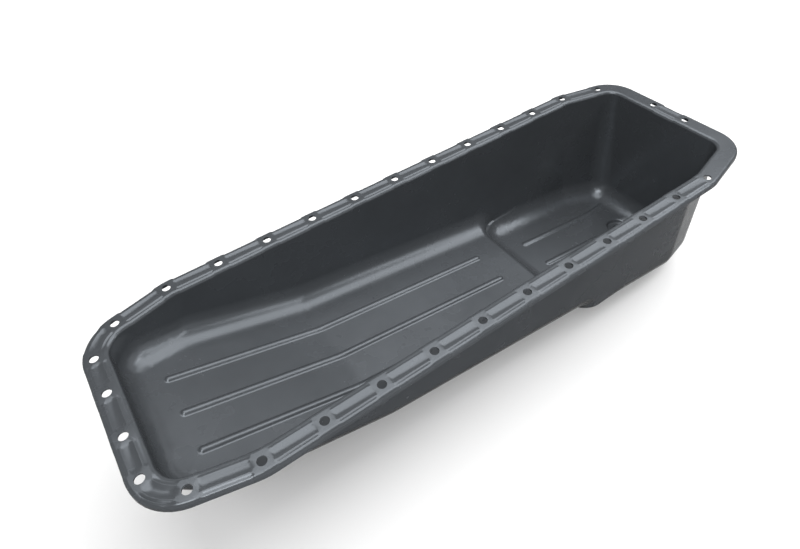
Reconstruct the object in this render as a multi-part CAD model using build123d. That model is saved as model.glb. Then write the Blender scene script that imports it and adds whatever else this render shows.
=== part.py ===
from build123d import *
import os
from math import acos, asin, atan, cos, degrees, radians, sin, sqrt, tan

# Oil pan of an in-line six diesel engine: one deep-drawn sheet with a shallow front and a deep rear sump.
# Frame: origin at the centre of the four row-end bolt holes, on the sealing face; +X to the sump end, +Z up.

os.makedirs("parts", exist_ok=True)

# Sheet and bolt holes
sheet = 2.0
hole_radius = 4.75
hole_pitch = 60.3
row_holes = 11
row_half_length = hole_pitch * (row_holes - 1) / 2
row_offset = 122.3
chamfer_angle = 14.0
chamfer_hole_run = 59.7
front_line = 390.4
rear_line = 388.2
front_inner_hole = 27.0
front_outer_hole = 74.6
rear_hole = 26.3

# Flange section, measured outward from the bolt line
front_corner_radius = 41.0
rear_corner_radius = 34.0
bend_radius = 60.0
flange_outer = 12.0
flange_inner = 13.25
lip_depth = 8.0
rim_radius = 4.5
edge_radius = 3.6
wall_draft = 2.8
neck_depth = 6.0

# Pressed panels between the holes, with their edges measured outward from the bolt line
panel_depth = 1.5
inner_margin_depth = 0.8
outer_margin_depth = 1.2
inner_margin_edge = -7.6
inner_ridge_start = -6.6
inner_ridge_end = -5.4
panel_floor_start = -2.5
panel_floor_end = 2.6
outer_ridge_start = 5.1
outer_ridge_end = 6.7
outer_margin_edge = 8.0
pad_half_length = 8.75
ramp_length = 3.0
weak_panel = 0.6

# Floors of the long section, the step and the sump
floor_start = Vector(-345.3, -47.1)
floor_kink = Vector(-166.7, -100.0)
floor_end = Vector(76.3, -133.8)
kink_radius = 80.0
step_x = 117.5
step_slope = 80.0
step_edge_radius = 9.0
sump_front = Vector(146.4, -159.65)
sump_rear = Vector(361.8, -186.6)
floor_fillet = 28.0
front_corner_depth = 13.0
front_corner_easing = 8.0
front_corner_growth = 11.0
rear_corner_foot = 34.0
shallow_end_x = 200.0

# Raised beads in the floors
bead_half_width = 5.5
bead_height = 2.8
bead_crown_share = 0.57
bead_pitch = 48.1
bead_front_x = -338.0
bead_rear_x = 76.0
sump_bead_height = 2.0
sump_bead_front_x = 168.0
sump_bead_middle_x = 272.0
sump_bead_turn_x = 290.0
sump_bead_end_x = 342.0
sump_bead_spread = 6.0

# Drain recess, bung, washer and plug
drain_x = 322.0
recess_radius = 22.0
recess_depth = 6.0
recess_bend = 4.0
drain_hole_radius = 10.0
bung_radius = 14.0
bung_height = 9.0
bung_bore_radius = 9.0
thread_clearance = 0.15
washer_radius = 12.5
washer_thickness = 1.5
washer_clearance = 0.3
plug_flange_radius = 12.0
plug_flange_thickness = 2.5
plug_head_width = 19.0
plug_head_height = 8.0
plug_recess = 1.0
edge_chamfer = 0.8

# How far the shapes that cut the tub reach past it
deepest = 230.0
block_reach = 80.0
block_rise = 20.0
cut_overlap = 1.0

wall_tan = tan(radians(wall_draft))
wall_cos = cos(radians(wall_draft))
chamfer_tan = tan(radians(chamfer_angle))


def unit(vector):
    """The vector at length one."""
    return vector * (1 / vector.length)


def right_of(direction):
    """Unit vector to the right of a direction in a plane."""
    return unit(Vector(direction.Y, -direction.X))


def meeting_point(point, direction, other_point, other_direction):
    """Where two lines in a plane meet."""
    gap = other_point - point
    across = direction.X * other_direction.Y - direction.Y * other_direction.X
    along = (gap.X * other_direction.Y - gap.Y * other_direction.X) / across
    return point + direction * along


def moved_path(points, distance):
    """An open path in a plane moved to its right by a distance, its corners kept sharp."""
    directions = [unit(end - start) for start, end in zip(points, points[1:])]
    moved = [points[0] + right_of(directions[0]) * distance]
    for corner, before, after in zip(points[1:-1], directions, directions[1:]):
        first = corner + right_of(before) * distance
        last = corner + right_of(after) * distance
        bent = (after - before).length > 1e-6
        moved.append(meeting_point(first, before, last, after) if bent else first)
    moved.append(points[-1] + right_of(directions[-1]) * distance)
    return moved


# Bolt line: a polygon seen from above, anticlockwise from the bend at the near front row end
front_corner_y = row_offset - (front_line - row_half_length) * chamfer_tan
rear_corner_y = row_offset - (rear_line - row_half_length) * chamfer_tan
near_front_bend = Vector(-row_half_length, -row_offset)
near_rear_bend = Vector(row_half_length, -row_offset)
near_rear_corner = Vector(rear_line, -rear_corner_y)
far_rear_corner = Vector(rear_line, rear_corner_y)
far_rear_bend = Vector(row_half_length, row_offset)
far_front_bend = Vector(-row_half_length, row_offset)
far_front_corner = Vector(-front_line, front_corner_y)
near_front_corner = Vector(-front_line, -front_corner_y)
bolt_polygon = [
    near_front_bend, near_rear_bend, near_rear_corner, far_rear_corner,
    far_rear_bend, far_front_bend, far_front_corner, near_front_corner,
]
chamfer_hole = chamfer_hole_run / cos(radians(chamfer_angle))
corner_turn = 90 - chamfer_angle
front_corner_reach = front_corner_radius * tan(radians(corner_turn / 2))


def wall_offset(z, thickness=0):
    """Place of the wall's inner side at height z, outward from the bolt line, or of its outer side."""
    return -flange_inner + wall_tan * z + thickness / wall_cos


# Flange: sections across the sheet, joined along the bolt line

def flange_path(depth):
    """Upper side of the flange from the neck of the wall to the lip, pressed in by a share of full depth."""
    rim = -inner_margin_depth * depth
    floor = -panel_depth * depth
    margin = -outer_margin_depth * depth
    return [
        Vector(wall_offset(-neck_depth), -neck_depth),
        Vector(wall_offset(rim), rim),
        Vector(inner_margin_edge, rim),
        Vector(inner_ridge_start, 0),
        Vector(inner_ridge_end, 0),
        Vector(panel_floor_start, floor),
        Vector(panel_floor_end, floor),
        Vector(outer_ridge_start, 0),
        Vector(outer_ridge_end, 0),
        Vector(outer_margin_edge, margin),
        Vector(flange_outer, margin),
        Vector(flange_outer, -lip_depth),
    ]


def rounded_edges(points, inner_radius, outer_radius):
    """Lines through the points of a flange path, rounded at the rim and at the lip."""
    edges = []
    start = points[0]
    radii = {1: inner_radius, len(points) - 2: outer_radius}
    for index in range(1, len(points) - 1):
        corner = points[index]
        if index not in radii:
            edges.append(Edge.make_line(start, corner))
            start = corner
            continue
        before = unit(corner - points[index - 1])
        after = unit(points[index + 1] - corner)
        half_turn = radians(before.get_angle(after) / 2)
        reach = radii[index] * tan(half_turn)
        middle = corner + unit(after - before) * (radii[index] / cos(half_turn) - radii[index])
        first = corner - before * reach
        last = corner + after * reach
        edges.append(Edge.make_line(start, first))
        edges.append(Edge.make_three_point_arc(first, middle, last))
        start = last
    edges.append(Edge.make_line(start, points[-1]))
    return edges


def flange_section(depth, point, direction):
    """Face across the flange at a point of the bolt line."""
    upper = flange_path(depth)
    lower = moved_path(upper, sheet)
    lower[0] = Vector(wall_offset(-neck_depth, sheet), -neck_depth)
    edges = rounded_edges(upper, rim_radius, edge_radius)
    edges.append(Edge.make_line(upper[-1], lower[-1]))
    edges += rounded_edges(lower, rim_radius - sheet, edge_radius - sheet)
    edges.append(Edge.make_line(lower[0], upper[0]))
    across = Plane(origin=(point.X, point.Y, 0), x_dir=right_of(direction), z_dir=-direction)
    return across.from_local_coords(Face(Wire(edges)))


def straight_flange(start, end, start_reach, end_reach, panels):
    """Flange between two corners; panels are given by their ends, from the first corner, and their depth."""
    direction = unit(end - start)
    levels = [(start_reach, 0)]
    for first, last, depth in panels:
        levels += [(first, 0), (first + ramp_length, depth), (last - ramp_length, depth), (last, 0)]
    levels.append(((end - start).length - end_reach, 0))
    faces = [flange_section(depth, start + direction * along, direction) for along, depth in levels]
    return Solid.make_loft([face.outer_wire() for face in faces], ruled=True)


def turned_section(centre, radius, angle, depth):
    """Flange section where the bolt line has turned to an angle round a centre."""
    outer = Vector(cos(radians(angle)), sin(radians(angle)))
    return flange_section(depth, centre + outer * radius, Vector(-outer.Y, outer.X))


def turned_flange(centre, radius, angle, turn, depth):
    """Flange round an arc of the bolt line."""
    axis = Axis((centre.X, centre.Y, 0), (0, 0, 1))
    return Solid.revolve(turned_section(centre, radius, angle, depth), turn, axis)


def panels_between(holes, depth):
    """A panel between each two neighbouring holes of a stretch."""
    return [(a + pad_half_length, b - pad_half_length, depth) for a, b in zip(holes, holes[1:])]


def pressed_corner(centre, angle, chamfer_first):
    """Front corner of the flange, with a curved panel between the chamfer hole and the end hole."""
    degrees_per_mm = degrees(1 / front_corner_radius)
    chamfer_length = (far_front_corner - far_front_bend).length - front_corner_reach
    chamfer_pad = (chamfer_hole + pad_half_length - chamfer_length) * degrees_per_mm
    end_pad = (pad_half_length + front_outer_hole - front_corner_y + front_corner_reach) * degrees_per_mm
    first, last = (chamfer_pad, end_pad) if chamfer_first else (end_pad, chamfer_pad)
    ramp = ramp_length * degrees_per_mm
    panel = corner_turn - first - last - 2 * ramp
    stations = [angle + first, angle + first + ramp, angle + first + ramp + panel, angle + corner_turn - last]
    depths = [0, 1, 1, 0]
    sections = [turned_section(centre, front_corner_radius, at, depth) for at, depth in zip(stations, depths)]
    wires = [section.outer_wire() for section in sections]
    return [
        turned_flange(centre, front_corner_radius, angle, first, 0),
        Solid.make_loft(wires[0:2], ruled=True),
        turned_flange(centre, front_corner_radius, stations[1], panel, 1),
        Solid.make_loft(wires[2:4], ruled=True),
        turned_flange(centre, front_corner_radius, stations[3], last, 0),
    ]


def corner_arc(corner):
    """Radius and turn of the bolt line at a corner of its polygon."""
    if abs(corner.X) == row_half_length:
        return bend_radius, chamfer_angle
    return (front_corner_radius if corner.X < 0 else rear_corner_radius), corner_turn


def make_flange():
    """The whole flange, from the neck of the wall outward."""
    row_panels = panels_between([hole_pitch * index for index in range(row_holes)], 1)
    front_side = [front_corner_y + hole for hole in (-front_outer_hole, -front_inner_hole)]
    front_side += [front_corner_y + hole for hole in (front_inner_hole, front_outer_hole)]
    rear_side = [rear_corner_y - rear_hole, rear_corner_y + rear_hole]
    front_chamfer = (far_front_corner - far_front_bend).length
    rear_chamfer = (far_rear_corner - far_rear_bend).length
    panels = [
        row_panels,
        [],
        panels_between(rear_side, 1),
        panels_between([rear_chamfer - chamfer_hole, rear_chamfer], weak_panel),
        row_panels,
        panels_between([0, chamfer_hole], 1),
        panels_between(front_side, 1),
        panels_between([front_chamfer - chamfer_hole, front_chamfer], 1),
    ]
    pieces = []
    for index, corner in enumerate(bolt_polygon):
        before = bolt_polygon[index - 1]
        after = bolt_polygon[(index + 1) % len(bolt_polygon)]
        radius, turn = corner_arc(corner)
        reaches = [arc_radius * tan(radians(arc_turn / 2)) for arc_radius, arc_turn in map(corner_arc, (corner, after))]
        pieces.append(straight_flange(corner, after, *reaches, panels[index]))
        first = unit(corner - before)
        last = unit(after - corner)
        centre = corner + unit(last - first) * (radius / cos(radians(turn / 2)))
        angle = Vector(1, 0).get_signed_angle(right_of(first), Vector(0, 0, 1))
        if radius == front_corner_radius:
            pieces += pressed_corner(centre, angle, corner.Y > 0)
        else:
            pieces.append(turned_flange(centre, radius, angle, turn, 0))
    return pieces[0].fuse(*pieces[1:])


# Tub: walls lofted between level outlines, cut by the long section of the floors, then rounded

def moved_corners(distance):
    """Corners of the bolt polygon after all its sides have moved outward."""
    closed = [bolt_polygon[-1]] + bolt_polygon + [bolt_polygon[0]]
    return moved_path(closed, distance)[1:-1]


def shallow_outline(z, thickness, corner):
    """Level outline of the wall at height z, from the front to beyond the step."""
    distance = wall_offset(z, thickness)
    corners = moved_corners(distance)
    side = row_offset + distance
    points = corners[5:8] + [corners[0], Vector(shallow_end_x, -side), Vector(shallow_end_x, side)]
    bend = bend_radius + distance
    return Pos(0, 0, z) * FilletPolyline(*points, radius=[bend, corner, corner, bend, 0, 0], close=True)


def sump_outline(z, thickness, corner, step_wall_x):
    """Level outline of the wall at height z, from the wall of the step to the rear."""
    distance = wall_offset(z, thickness)
    side = row_offset + distance
    points = moved_corners(distance)[1:5] + [Vector(step_wall_x, side), Vector(step_wall_x, -side)]
    bend = bend_radius + distance
    step_corner = rear_corner_foot + thickness
    radii = [bend, corner, corner, bend, step_corner, step_corner]
    return Pos(0, 0, z) * FilletPolyline(*points, radius=radii, close=True)


def long_block(points, radii):
    """Solid over the whole width with the given outline in the long section."""
    face = Face(FilletPolyline(*points, radius=radii, close=True))
    return extrude(Plane.XZ * face, amount=2 * row_offset, both=True)


def floor_edges(solid):
    """Edges between the floors and the walls."""
    floors = []
    walls = []
    for face in solid.faces():
        normal = face.normal_at()
        height = face.center().Z
        level = abs(normal.Z) > 0.999
        sloped = abs(normal.Z) > 0.1 and abs(normal.Y) < 1e-6
        if sloped and not level:
            floors.append(face)
        elif not level and abs(normal.X) < 0.9999:
            walls.append(face)
    wall_edges = [edge for face in walls for edge in face.edges()]
    return [edge for face in floors for edge in face.edges() if edge in wall_edges]


floor_direction = unit(floor_end - floor_kink)
sump_direction = unit(sump_rear - sump_front)
step_direction = Vector(cos(radians(step_slope)), -sin(radians(step_slope)))
step_edge_point = meeting_point(floor_kink, floor_direction, Vector(step_x, 0), Vector(0, 1))
step_edge_centre = step_edge_point + right_of(floor_direction) * step_edge_radius
edge_above_sump = -(step_edge_centre - sump_front).dot(right_of(sump_direction))
edge_foot = step_edge_centre + right_of(sump_direction) * edge_above_sump
foot_rise = floor_fillet - edge_above_sump
foot_run = sqrt((step_edge_radius + floor_fillet) ** 2 - foot_rise ** 2)
foot_centre = edge_foot + sump_direction * foot_run - right_of(sump_direction) * floor_fillet


def make_shallow(thickness):
    """Space of the shallow front down to its floor, or that space and its sheet."""
    neck_corner = front_corner_radius + wall_offset(-neck_depth, thickness)
    lower_corner = floor_fillet + front_corner_easing + thickness
    walls = Solid.make_loft([
        shallow_outline(-neck_depth, thickness, neck_corner),
        shallow_outline(-front_corner_depth, thickness, lower_corner),
        shallow_outline(-deepest, thickness, lower_corner + front_corner_growth),
    ], ruled=True)
    first_direction = unit(floor_kink - floor_start)
    front = floor_start - first_direction * block_reach
    edge_side = step_edge_centre - right_of(step_direction) * step_edge_radius
    edge_corner = meeting_point(floor_kink, floor_direction, edge_side, step_direction)
    path = [front, floor_kink, edge_corner, edge_corner + step_direction * block_reach]
    path = moved_path(path, thickness)
    points = path + [Vector(deepest * 2, path[-1].Y), Vector(deepest * 2, block_rise), Vector(path[0].X, block_rise)]
    radii = [0, kink_radius + thickness, step_edge_radius - thickness, 0, 0, 0, 0]
    space = walls & long_block(points, radii)
    space = space.fillet(floor_fillet + thickness, floor_edges(space))
    share = (step_edge_radius - thickness) / (step_edge_radius + floor_fillet)
    meeting_height = (step_edge_centre + (foot_centre - step_edge_centre) * share).Y
    above = Pos(0, 0, meeting_height) * Box(4 * deepest, 4 * row_offset, 2 * deepest, align=(Align.CENTER, Align.CENTER, Align.MIN))
    return space & above


def make_sump(thickness):
    """Space of the sump, or that space and its sheet."""
    wall_point = foot_centre + right_of(step_direction) * (floor_fillet + thickness)
    neck_corner = rear_corner_radius + wall_offset(-neck_depth, thickness)
    outlines = []
    for z, corner in ((-neck_depth, neck_corner), (-deepest, rear_corner_foot + thickness)):
        step_wall_x = wall_point.X + (z - wall_point.Y) * step_direction.X / step_direction.Y
        outlines.append(sump_outline(z, thickness, corner, step_wall_x))
    walls = Solid.make_loft(outlines, ruled=True)
    path = [sump_front - sump_direction * block_reach, sump_rear + sump_direction * block_reach]
    path = moved_path(path, thickness)
    points = path + [Vector(path[1].X, block_rise), Vector(path[0].X, block_rise)]
    space = walls & long_block(points, [0, 0, 0, 0])
    return space.fillet(floor_fillet + thickness, floor_edges(space))


# Beads: a ridge with a rounded crown and rounded feet, hollow underneath like the rest of the sheet

def bead_edges(height, thickness):
    """Right half of a bead's section, from its crown to its foot."""
    angle = 2 * atan(height / bead_half_width)
    both_radii = bead_half_width / sin(angle)
    crown = bead_crown_share * both_radii - thickness
    foot = (1 - bead_crown_share) * both_radii + thickness
    top = Vector(0, height - thickness)
    crown_middle = top + Vector(crown * sin(angle / 2), crown * (cos(angle / 2) - 1))
    turn = top + Vector(crown * sin(angle), crown * (cos(angle) - 1))
    end = Vector(bead_half_width, -thickness)
    foot_middle = end + Vector(-foot * sin(angle / 2), foot * (1 - cos(angle / 2)))
    return [
        Edge.make_three_point_arc(top, crown_middle, turn),
        Edge.make_three_point_arc(turn, foot_middle, end),
        Edge.make_line(end, end - Vector(0, cut_overlap)),
    ]


def bead_face(place, height, thickness, whole):
    """Face across a bead, or only its right half; the place has its local Y up from the floor."""
    half = bead_edges(height, thickness)
    low = -thickness - cut_overlap
    if whole:
        edges = half + [edge.mirror(Plane.YZ) for edge in half]
        edges.append(Edge.make_line((-bead_half_width, low), (bead_half_width, low)))
    else:
        edges = half + [Edge.make_line((bead_half_width, low), (0, low))]
        edges.append(Edge.make_line((0, low), (0, height - thickness)))
    return place.from_local_coords(Face(Wire(edges)))


def floor_place(point, direction, y):
    """Plane across a floor line, with X along the width and Y up from the floor."""
    return Plane(origin=(point.X, y, point.Y), x_dir=(0, 1, 0), z_dir=(direction.X, 0, direction.Y))


def bead_run(start, end, y, height, thickness):
    """Straight length of a bead along a floor line."""
    place = floor_place(start, unit(end - start), y)
    return Solid.extrude(bead_face(place, height, thickness, True), place.z_dir * (end - start).length)


def bead_end(place, height, thickness, turn):
    """Half-round end of a bead."""
    face = bead_face(place, height, thickness, False)
    return Solid.revolve(face, turn, Axis(place.origin, place.y_dir))


def floor_point(start, direction, x):
    """Point of a floor line at x."""
    return start + direction * ((x - start.X) / direction.X)


def shallow_bead(y, thickness):
    """Bead along the shallow floor, over its kink."""
    first_direction = unit(floor_kink - floor_start)
    turn = first_direction.get_angle(floor_direction)
    reach = kink_radius * tan(radians(turn / 2))
    start = floor_point(floor_start, first_direction, bead_front_x)
    arc_start = floor_kink - first_direction * reach
    arc_end = floor_kink + floor_direction * reach
    end = floor_point(floor_kink, floor_direction, bead_rear_x)
    centre = arc_start - right_of(first_direction) * kink_radius
    arc_face = bead_face(floor_place(arc_start, first_direction, y), bead_height, thickness, True)
    return [
        bead_end(floor_place(start, first_direction, y), bead_height, thickness, 180),
        bead_run(start, arc_start, y, bead_height, thickness),
        Solid.revolve(arc_face, turn, Axis((centre.X, y, centre.Y), (0, -1, 0))),
        bead_run(arc_end, end, y, bead_height, thickness),
        bead_end(floor_place(end, floor_direction, y), bead_height, thickness, -180),
    ]


def sump_bead(y, thickness):
    """Bead along the sump floor; the outer ones curve outward at the rear."""
    end_x = sump_bead_turn_x if y else sump_bead_middle_x
    start = floor_point(sump_front, sump_direction, sump_bead_front_x)
    end = floor_point(sump_front, sump_direction, end_x)
    place = floor_place(end, sump_direction, y)
    pieces = [
        bead_end(floor_place(start, sump_direction, y), sump_bead_height, thickness, 180),
        bead_run(start, end, y, sump_bead_height, thickness),
    ]
    if not y:
        return pieces + [bead_end(place, sump_bead_height, thickness, -180)]
    run = (sump_bead_end_x - sump_bead_turn_x) / sump_direction.X
    radius = (run ** 2 + sump_bead_spread ** 2) / (2 * sump_bead_spread)
    turn = degrees(asin(run / radius))
    side = 1 if y > 0 else -1
    axis = Axis(place.origin + Vector(0, side * radius, 0), place.y_dir * side)
    curve = Solid.revolve(bead_face(place, sump_bead_height, thickness, True), turn, axis)
    tip = bead_end(place, sump_bead_height, thickness, -180).rotate(axis, turn)
    return pieces + [curve, tip]


def all_beads(thickness):
    """Every bead of both floors."""
    pieces = []
    for y in (-bead_pitch, 0, bead_pitch):
        pieces += shallow_bead(y, thickness)
        pieces += sump_bead(y, thickness)
    return pieces


# Drain recess, revolved about the line square to the sump floor

drain_point = floor_point(sump_front, sump_direction, drain_x)
drain_place = Plane(
    origin=(drain_point.X, 0, drain_point.Y),
    x_dir=(sump_direction.X, 0, sump_direction.Y),
    z_dir=(-sump_direction.Y, 0, sump_direction.X),
)


def make_recess(thickness):
    """Space of the recess under the floor, with rounded rim and foot."""
    angle = acos(1 - recess_depth / (2 * recess_bend))
    rim = recess_bend - thickness
    foot = recess_bend + thickness
    rim_centre = Vector(recess_radius, 0, -recess_bend)
    foot_centre_point = Vector(recess_radius - 2 * recess_bend * sin(angle), 0, recess_bend - recess_depth)
    turn = rim_centre + Vector(-rim * sin(angle), 0, rim * cos(angle))
    rim_middle = rim_centre + Vector(-rim * sin(angle / 2), 0, rim * cos(angle / 2))
    foot_middle = foot_centre_point + Vector(foot * sin(angle / 2), 0, -foot * cos(angle / 2))
    start = Vector(recess_radius, 0, -thickness)
    end = foot_centre_point - Vector(0, 0, foot)
    axis_bottom = Vector(0, 0, end.Z)
    axis_top = Vector(0, 0, start.Z + cut_overlap)
    edges = [
        Edge.make_three_point_arc(start, rim_middle, turn),
        Edge.make_three_point_arc(turn, foot_middle, end),
        Edge.make_line(end, axis_bottom),
        Edge.make_line(axis_bottom, axis_top),
        Edge.make_line(axis_top, start + Vector(0, 0, cut_overlap)),
        Edge.make_line(start + Vector(0, 0, cut_overlap), start),
    ]
    return drain_place.location * Solid.revolve(Face(Wire(edges)), 360, Axis.Z)


def make_space(thickness):
    """Inside of the pan, or the inside and the sheet around it."""
    space = make_shallow(thickness).fuse(make_sump(thickness))
    space = space.cut(*all_beads(thickness))
    return space.fuse(make_recess(thickness))


def hole_places():
    """Centres of the bolt holes, on the sealing face."""
    rows = [-row_half_length + hole_pitch * index for index in range(row_holes)]
    places = [(x, side * row_offset) for x in rows for side in (-1, 1)]
    chamfer_x = row_half_length + chamfer_hole_run
    chamfer_y = row_offset - chamfer_hole_run * chamfer_tan
    places += [(-chamfer_x, -chamfer_y), (-chamfer_x, chamfer_y), (chamfer_x, chamfer_y)]
    places += [(-front_line, side * front_inner_hole) for side in (-1, 1)]
    places += [(-front_line, side * front_outer_hole) for side in (-1, 1)]
    places += [(rear_line, side * rear_hole) for side in (-1, 1)]
    return places


def make_pan():
    """The whole stamping."""
    tub = make_space(sheet).cut(make_space(0))
    drain_hole = drain_place.location * Cylinder(drain_hole_radius, 4 * recess_depth)
    bolt_holes = [Pos(x, y, 0) * Cylinder(hole_radius, 4 * sheet) for x, y in hole_places()]
    return tub.fuse(make_flange()).cut(drain_hole, *bolt_holes)


# Drain fittings, measured down from the sump floor

bung_top = -recess_depth - sheet
bung_foot = bung_top - bung_height
washer_foot = bung_foot - washer_thickness
flange_foot = washer_foot - plug_flange_thickness


def ring(outer_radius, inner_radius, top, height):
    """Ring about the drain's axis, hanging down from its top."""
    body = Cylinder(outer_radius, height) - Cylinder(inner_radius, 2 * height)
    return Pos(0, 0, top - height / 2) * body


def make_bung():
    """Welded boss under the recess."""
    body = ring(bung_radius, bung_bore_radius, bung_top, bung_height)
    foot = body.edges().group_by(Axis.Z)[0]
    return drain_place.location * chamfer(foot, edge_chamfer)


def make_washer():
    """Flat sealing washer."""
    bore = bung_bore_radius + washer_clearance
    return drain_place.location * ring(washer_radius, bore, bung_foot, washer_thickness)


def make_plug():
    """Drain plug with a shank, a round flange and a hexagon head."""
    shank_radius = bung_bore_radius - thread_clearance
    shank_length = bung_top - plug_recess - washer_foot
    shank = Pos(0, 0, washer_foot + shank_length / 2) * Cylinder(shank_radius, shank_length)
    shank = chamfer(shank.edges().group_by(Axis.Z)[-1], edge_chamfer)
    flange = Pos(0, 0, washer_foot - plug_flange_thickness / 2) * Cylinder(plug_flange_radius, plug_flange_thickness)
    hexagon = RegularPolygon(plug_head_width / 2, 6, major_radius=False)
    head = Pos(0, 0, flange_foot - plug_head_height) * extrude(hexagon, plug_head_height)
    corners = plug_head_width / 2 / cos(radians(30))
    crown = Cone(corners - edge_chamfer, corners - edge_chamfer + plug_head_height, plug_head_height)
    head = head & (Pos(0, 0, flange_foot - plug_head_height / 2) * crown)
    return drain_place.location * (shank + flange + head)


export_step(make_pan(), "parts/oil_pan.step")
export_step(make_bung(), "parts/drain_bung.step")
export_step(make_washer(), "parts/plug_washer.step")
export_step(make_plug(), "parts/drain_plug.step")
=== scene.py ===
from math import radians

import bpy
from mathutils import Matrix, Vector


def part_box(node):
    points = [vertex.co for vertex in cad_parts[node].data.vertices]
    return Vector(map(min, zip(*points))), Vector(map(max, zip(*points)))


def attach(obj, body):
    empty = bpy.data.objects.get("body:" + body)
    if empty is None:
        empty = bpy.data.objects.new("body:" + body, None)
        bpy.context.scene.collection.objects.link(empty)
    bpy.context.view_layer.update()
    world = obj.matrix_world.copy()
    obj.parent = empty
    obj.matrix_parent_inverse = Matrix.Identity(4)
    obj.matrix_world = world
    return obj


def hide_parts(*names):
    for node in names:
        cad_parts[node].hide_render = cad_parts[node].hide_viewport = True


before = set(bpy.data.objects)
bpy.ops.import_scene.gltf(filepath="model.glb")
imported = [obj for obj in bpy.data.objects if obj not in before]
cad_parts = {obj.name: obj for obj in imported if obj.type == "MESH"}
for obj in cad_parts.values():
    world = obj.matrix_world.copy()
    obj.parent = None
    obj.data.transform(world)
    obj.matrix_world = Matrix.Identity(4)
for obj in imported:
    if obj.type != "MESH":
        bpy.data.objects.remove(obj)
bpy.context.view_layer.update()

bpy.ops.object.select_all(action="DESELECT")

# The camera stands over the near side of the shallow end and looks down along the pan towards
# the deep end. The lens is a short one, shifted so that the uprights stay upright.
camera_place = Vector((-0.34033, -0.44088, 0.51455))
camera_right = Vector((0.8155031, -0.5758207, -0.0581824))
camera_up = Vector((0.3893574, 0.4714726, 0.7912741))
camera_back = camera_right.cross(camera_up)
camera_data = bpy.data.cameras.new("camera")
camera_data.sensor_width = 36
camera_data.lens = 29.214
camera_data.shift_x = -0.00958
camera_data.shift_y = -0.12873
camera = bpy.data.objects.new("camera", camera_data)
bpy.context.scene.collection.objects.link(camera)
camera_turn = Matrix((camera_right, camera_up, camera_back)).transposed().to_4x4()
camera.matrix_world = Matrix.Translation(camera_place) @ camera_turn
bpy.context.scene.camera = camera

# A pale studio sweep under the pan: plain card that takes the pan's shadow. It shows white to the
# camera and in the paint's gloss, and throws little light back up at the dark underside. Far from
# the pan, where the lamps fade, the card glows for the camera, so that it stays white.
floor_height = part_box("drain_plug")[0].z
floor_side = 16
card_white = (0.7, 0.7, 0.7, 1)
card_dark = (0.05, 0.05, 0.05, 1)
card_glow = 0.18
far_glow = 0.9
far_glow_start = 0.9
far_glow_full = 3.0


def math_node(tree, operation, *sources):
    """A math node that takes numbers or the sockets of other nodes."""
    result = tree.nodes.new("ShaderNodeMath")
    result.operation = operation
    for socket, source in zip(result.inputs, sources):
        if isinstance(source, (int, float)):
            socket.default_value = source
        else:
            tree.links.new(source, socket)
    return result.outputs[0]


def ranged(tree, source, low, high, floor, ceiling):
    """A value brought from one range into another, and kept within it."""
    band = tree.nodes.new("ShaderNodeMapRange")
    band.inputs["From Min"].default_value = low
    band.inputs["From Max"].default_value = high
    band.inputs["To Min"].default_value = floor
    band.inputs["To Max"].default_value = ceiling
    tree.links.new(source, band.inputs["Value"])
    return band.outputs["Result"]


def seen_sharply(tree, path):
    """One where the camera, a gloss or a glass looks, and nought for soft light."""
    seen = math_node(tree, "MAXIMUM", path.outputs["Is Camera Ray"], path.outputs["Is Glossy Ray"])
    return math_node(tree, "MAXIMUM", seen, path.outputs["Is Transmission Ray"])


bpy.ops.mesh.primitive_plane_add(size=floor_side, location=(0, 0, floor_height))
studio_floor = bpy.context.object
studio_floor.name = "studio_floor"
floor_card = bpy.data.materials.new("floor_card")
floor_card.use_nodes = True
card_tree = floor_card.node_tree
card_shader = card_tree.nodes["Principled BSDF"]
card_shader.inputs["Roughness"].default_value = 0.9
card_shader.inputs["Specular IOR Level"].default_value = 0.0
card_shader.inputs["Emission Color"].default_value = (1, 1, 1, 1)
card_path = card_tree.nodes.new("ShaderNodeLightPath")
card_seen = seen_sharply(card_tree, card_path)
card_colour = card_tree.nodes.new("ShaderNodeMix")
card_colour.data_type = "RGBA"
card_colour.inputs["A"].default_value = card_dark
card_colour.inputs["B"].default_value = card_white
card_tree.links.new(card_seen, card_colour.inputs["Factor"])
card_tree.links.new(card_colour.outputs["Result"], card_shader.inputs["Base Color"])
card_place = card_tree.nodes.new("ShaderNodeTexCoord")
card_distance = card_tree.nodes.new("ShaderNodeVectorMath")
card_distance.operation = "LENGTH"
card_tree.links.new(card_place.outputs["Object"], card_distance.inputs[0])
card_far = ranged(
    card_tree, card_distance.outputs["Value"], far_glow_start, far_glow_full, 0.0, far_glow
)
near_light = math_node(card_tree, "MULTIPLY", card_seen, card_glow)
card_light = math_node(
    card_tree, "MULTIPLY_ADD", card_far, card_path.outputs["Is Camera Ray"], near_light
)
card_tree.links.new(card_light, card_shader.inputs["Emission Strength"])
studio_floor.data.materials.append(floor_card)

# Soft studio lamps: a wide bank overhead, whose far edge shows in the near flange and the beads
# and not in the far flange, a long strip on the near side for the fillets, and a small fill from
# the front end. The bank hangs level, and the other two are aimed at the middle of the pan.
lamp_aim = Vector((0.1, 0, -0.1))


def soft_lamp(name, width, depth, power, place):
    lamp_data = bpy.data.lights.new(name, "AREA")
    lamp_data.shape = "RECTANGLE"
    lamp_data.size = width
    lamp_data.size_y = depth
    lamp_data.energy = power
    lamp = bpy.data.objects.new(name, lamp_data)
    bpy.context.scene.collection.objects.link(lamp)
    lamp.location = place
    return lamp


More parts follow.
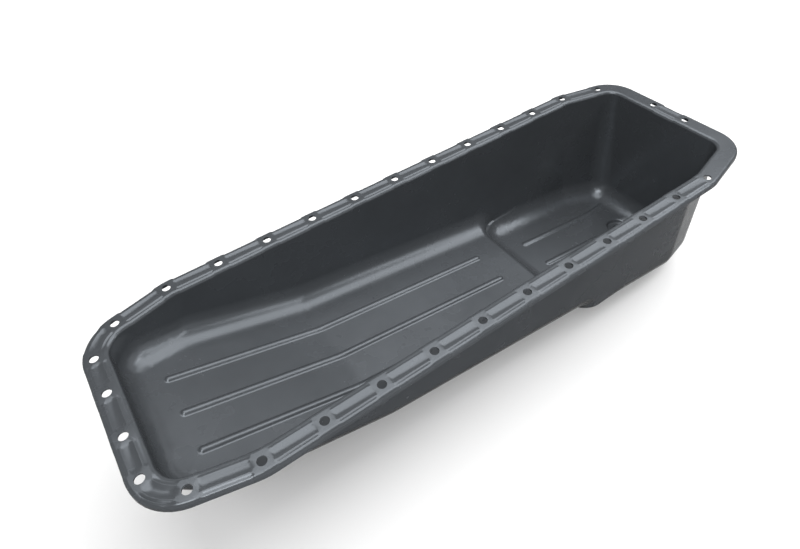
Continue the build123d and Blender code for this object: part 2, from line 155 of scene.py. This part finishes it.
soft_lamp("bank_overhead", 3.4, 2.3, 98, (1.0, 0.15, 2.0))
strip_lamp = soft_lamp("strip_camera_side", 3.2, 0.45, 32, (2.3, -1.2, 1.9))
fill_lamp = soft_lamp("fill_front_end", 1.4, 1.0, 42, (-1.2, -1.0, 2.0))
for lamp in (strip_lamp, fill_lamp):
    lamp_line = lamp_aim - lamp.location
    lamp.rotation_euler = lamp_line.to_track_quat("-Z", "Y").to_euler()

# The surround: a studio wall that is white low down, where the camera and the gloss see it, and
# grey overhead. It adds little soft light, so that the lamps shape the pan.
wall_white = 1.0
wall_grey = 0.15
wall_fade_start = 0.25
wall_fade_end = 0.5
surround_sky = bpy.data.worlds.new("studio_surround")
bpy.context.scene.world = surround_sky
surround_sky.use_nodes = True
sky_tree = surround_sky.node_tree
surround = sky_tree.nodes["Background"]
surround.inputs["Color"].default_value = (1, 1, 1, 1)
sky_seen = seen_sharply(sky_tree, sky_tree.nodes.new("ShaderNodeLightPath"))
sky_strength = ranged(sky_tree, sky_seen, 0.0, 1.0, wall_grey, wall_white)
sky_direction = sky_tree.nodes.new("ShaderNodeTexCoord")
sky_height = sky_tree.nodes.new("ShaderNodeSeparateXYZ")
sky_tree.links.new(sky_direction.outputs["Generated"], sky_height.inputs["Vector"])
sky_fade = ranged(
    sky_tree, sky_height.outputs["Z"], wall_fade_start, wall_fade_end, wall_white, wall_grey
)
sky_light = math_node(sky_tree, "MULTIPLY", sky_strength, sky_fade)
sky_tree.links.new(sky_light, surround.inputs["Strength"])

# The pan: one sheet of steel, deep drawn in a press in two steps and dipped in a thin satin
# grey-black paint that follows every bead, panel and rolled edge. The paint carries fine metal
# flake, so that it stays dark at a glancing view and bright where a lamp stands in it.
cloud_scale, mottle_scale, peel_scale = 7.0, 60.0, 170.0
noise_low, noise_high = 0.3, 0.7
cloud_shade = 0.08
mottle_shade = 0.02
sheen_low, sheen_high = 0.25, 0.29
mottle_sheen = 0.008
peel_depth = 0.00003
join_distance = 0.00001


def noise_value(tree, place, scale, detail, roughness):
    """Soft noise over a piece; its scale is in patches to the metre."""
    noise = tree.nodes.new("ShaderNodeTexNoise")
    noise.inputs["Scale"].default_value = scale
    noise.inputs["Detail"].default_value = detail
    noise.inputs["Roughness"].default_value = roughness
    tree.links.new(place.outputs["Object"], noise.inputs["Vector"])
    return noise.outputs["Fac"]


paint_effects = bpy.data.node_groups.new("dipped_paint", "ShaderNodeTree")
for socket_name, direction, kind in (
    ("Colour", "INPUT", "NodeSocketColor"),
    ("Colour", "OUTPUT", "NodeSocketColor"),
    ("Roughness", "OUTPUT", "NodeSocketFloat"),
    ("Normal", "OUTPUT", "NodeSocketVector"),
):
    paint_effects.interface.new_socket(name=socket_name, in_out=direction, socket_type=kind)
group_in = paint_effects.nodes.new("NodeGroupInput")
group_out = paint_effects.nodes.new("NodeGroupOutput")
paint_place = paint_effects.nodes.new("ShaderNodeTexCoord")
clouds = noise_value(paint_effects, paint_place, cloud_scale, 4.0, 0.55)
mottle = noise_value(paint_effects, paint_place, mottle_scale, 2.0, 0.5)
peel = noise_value(paint_effects, paint_place, peel_scale, 1.0, 0.4)
shade = math_node(
    paint_effects, "ADD",
    ranged(paint_effects, clouds, noise_low, noise_high, -cloud_shade, cloud_shade),
    ranged(paint_effects, mottle, noise_low, noise_high, 1 - mottle_shade, 1 + mottle_shade),
)
tint = paint_effects.nodes.new("ShaderNodeVectorMath")
tint.operation = "SCALE"
paint_effects.links.new(group_in.outputs["Colour"], tint.inputs[0])
paint_effects.links.new(shade, tint.inputs["Scale"])
paint_effects.links.new(tint.outputs[0], group_out.inputs["Colour"])
sheen = math_node(
    paint_effects, "ADD",
    ranged(paint_effects, clouds, noise_low, noise_high, sheen_low, sheen_high),
    ranged(paint_effects, mottle, noise_low, noise_high, -mottle_sheen, mottle_sheen),
)
paint_effects.links.new(sheen, group_out.inputs["Roughness"])
peel_bump = paint_effects.nodes.new("ShaderNodeBump")
peel_bump.inputs["Strength"].default_value = 0.1
peel_bump.inputs["Distance"].default_value = peel_depth
paint_effects.links.new(peel, peel_bump.inputs["Height"])
paint_effects.links.new(peel_bump.outputs["Normal"], group_out.inputs["Normal"])


def painted_steel(name, colour):
    paint = bpy.data.materials.new(name)
    paint.use_nodes = True
    shader = paint.node_tree.nodes["Principled BSDF"]
    shader.inputs["Specular IOR Level"].default_value = 0.12
    shader.inputs["Specular Tint"].default_value = (0.2, 0.2, 0.2, 1)
    shader.inputs["Metallic"].default_value = 0.5
    effects = paint.node_tree.nodes.new("ShaderNodeGroup")
    effects.node_tree = paint_effects
    effects.inputs["Colour"].default_value = colour
    paint.node_tree.links.new(effects.outputs["Colour"], shader.inputs["Base Color"])
    paint.node_tree.links.new(effects.outputs["Roughness"], shader.inputs["Roughness"])
    paint.node_tree.links.new(effects.outputs["Normal"], shader.inputs["Normal"])
    return paint


def smooth_copy(node_name, piece_name, edge_angle):
    """Copy of a solid's mesh, its faces joined and shaded smooth up to an edge angle."""
    piece = bpy.data.objects.new(piece_name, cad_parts[node_name].data.copy())
    bpy.context.scene.collection.objects.link(piece)
    bpy.ops.object.select_all(action="DESELECT")
    piece.select_set(True)
    bpy.context.view_layer.objects.active = piece
    bpy.ops.object.mode_set(mode="EDIT")
    bpy.ops.mesh.select_all(action="SELECT")
    bpy.ops.mesh.remove_doubles(threshold=join_distance)
    bpy.ops.object.mode_set(mode="OBJECT")
    bpy.ops.object.shade_smooth_by_angle(angle=radians(edge_angle))
    bpy.ops.object.modifier_add(type="WEIGHTED_NORMAL")
    piece.modifiers[-1].keep_sharp = True
    bpy.ops.object.modifier_apply(modifier=piece.modifiers[-1].name)
    piece.data.materials.clear()
    return piece


pan = smooth_copy("oil_pan", "pan_sheet", 28)
pan.data.materials.append(painted_steel("pan_paint", (0.088, 0.0955, 0.104, 1)))
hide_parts("oil_pan")
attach(pan, "root")

# The bung: a turned steel boss, welded under the drain recess before the pan is dipped, so it
# carries the same paint, a little thicker and darker.
bung = smooth_copy("drain_bung", "bung_boss", 32)
bung.data.materials.append(painted_steel("bung_paint", (0.067, 0.072, 0.079, 1)))
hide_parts("drain_bung")
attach(bung, "root")

# The weld: one ring of arc weld run round the bung's top against the underside of the recess,
# laid in short overlapping steps and painted over with the pan. It stays clear of the washer.
drain_slope = -0.12512
drain_centre = Vector((0.322, 0, -0.1816192))
drain_down = Vector((drain_slope, 0, -1)).normalized()
weld_top = 0.008
weld_ring = 0.0146
weld_thickness = 0.0019
weld_steps = 34
segments_in_step = 6
step_start_size = 0.86
step_swell = 0.198
bpy.ops.object.select_all(action="DESELECT")
bpy.ops.mesh.primitive_torus_add(
    major_segments=weld_steps * segments_in_step, minor_segments=16,
    major_radius=weld_ring, minor_radius=weld_thickness,
    location=(0, 0, 0), rotation=(0, 0, 0),
)
weld = bpy.context.object
weld.name = "bung_weld"
for vertex in weld.data.vertices:
    across = Vector((vertex.co.x, vertex.co.y, 0))
    turn = Vector((1, 0)).angle_signed(across.xy) / radians(360) * weld_steps
    step = turn % 1
    step_size = step_start_size + step_swell * step * (2 - step)
    ring_point = across.normalized() * weld_ring
    vertex.co = ring_point + (vertex.co - ring_point) * step_size
drain_lean = Vector((0, 0, -1)).rotation_difference(drain_down).to_matrix().to_4x4()
weld.data.transform(Matrix.Translation(drain_centre + drain_down * weld_top) @ drain_lean)
weld.data.materials.append(bung.data.materials[0])
bpy.ops.object.shade_smooth()
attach(weld, "root")

# The washer: a flat ring stamped from soft copper, annealed dull, and squeezed bright where the
# plug's flange turns on it.
copper_dark = (0.42, 0.16, 0.085, 1)
copper_bright = (0.78, 0.36, 0.21, 1)
copper_dull, copper_polish = 0.42, 0.26


def clouded_metal(name, scale, spread, stops, colours, dull, bright):
    """Bare metal whose colour and polish drift together in soft patches."""
    metal = bpy.data.materials.new(name)
    metal.use_nodes = True
    tree = metal.node_tree
    shader = tree.nodes["Principled BSDF"]
    shader.inputs["Metallic"].default_value = 1.0
    patches = noise_value(tree, tree.nodes.new("ShaderNodeTexCoord"), scale, 4.0, spread)
    ramp = tree.nodes.new("ShaderNodeValToRGB")
    for index, (stop, colour) in enumerate(zip(stops, colours)):
        ramp.color_ramp.elements[index].position = stop
        ramp.color_ramp.elements[index].color = colour
    tree.links.new(patches, ramp.inputs["Fac"])
    tree.links.new(ramp.outputs["Color"], shader.inputs["Base Color"])
    roughness = ranged(tree, patches, noise_low, noise_high, dull, bright)
    tree.links.new(roughness, shader.inputs["Roughness"])
    return metal


washer = smooth_copy("plug_washer", "seal_washer", 32)
washer.data.materials.append(clouded_metal(
    "washer_metal", 260.0, 0.6, (0.35, 0.65), (copper_dark, copper_bright),
    copper_dull, copper_polish,
))
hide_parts("plug_washer")
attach(washer, "root")

# The drain plug: cold-headed steel with a round flange and a hexagon, zinc plated after the thread
# is rolled. The plating is a soft grey with faint clouding and a fine grain.
zinc_dark = (0.36, 0.38, 0.4, 1)
zinc_bright = (0.56, 0.58, 0.6, 1)
zinc_dull, zinc_polish = 0.44, 0.3
grain_scale = 1500.0
grain_depth = 0.00002
plug = smooth_copy("drain_plug", "drain_screw", 24)
zinc = clouded_metal(
    "plug_steel", 180.0, 0.55, (0.3, 0.7), (zinc_dark, zinc_bright), zinc_dull, zinc_polish
)
zinc_tree = zinc.node_tree
zinc_place = zinc_tree.nodes.new("ShaderNodeTexCoord")
zinc_grain = noise_value(zinc_tree, zinc_place, grain_scale, 2.0, 0.5)
zinc_bump = zinc_tree.nodes.new("ShaderNodeBump")
zinc_bump.inputs["Strength"].default_value = 0.3
zinc_bump.inputs["Distance"].default_value = grain_depth
zinc_tree.links.new(zinc_grain, zinc_bump.inputs["Height"])
zinc_tree.links.new(
    zinc_bump.outputs["Normal"], zinc_tree.nodes["Principled BSDF"].inputs["Normal"]
)
plug.data.materials.append(zinc)
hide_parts("drain_plug")
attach(plug, "root")

# The picture keeps the colours as they are written.
bpy.context.scene.view_settings.view_transform = "Standard"
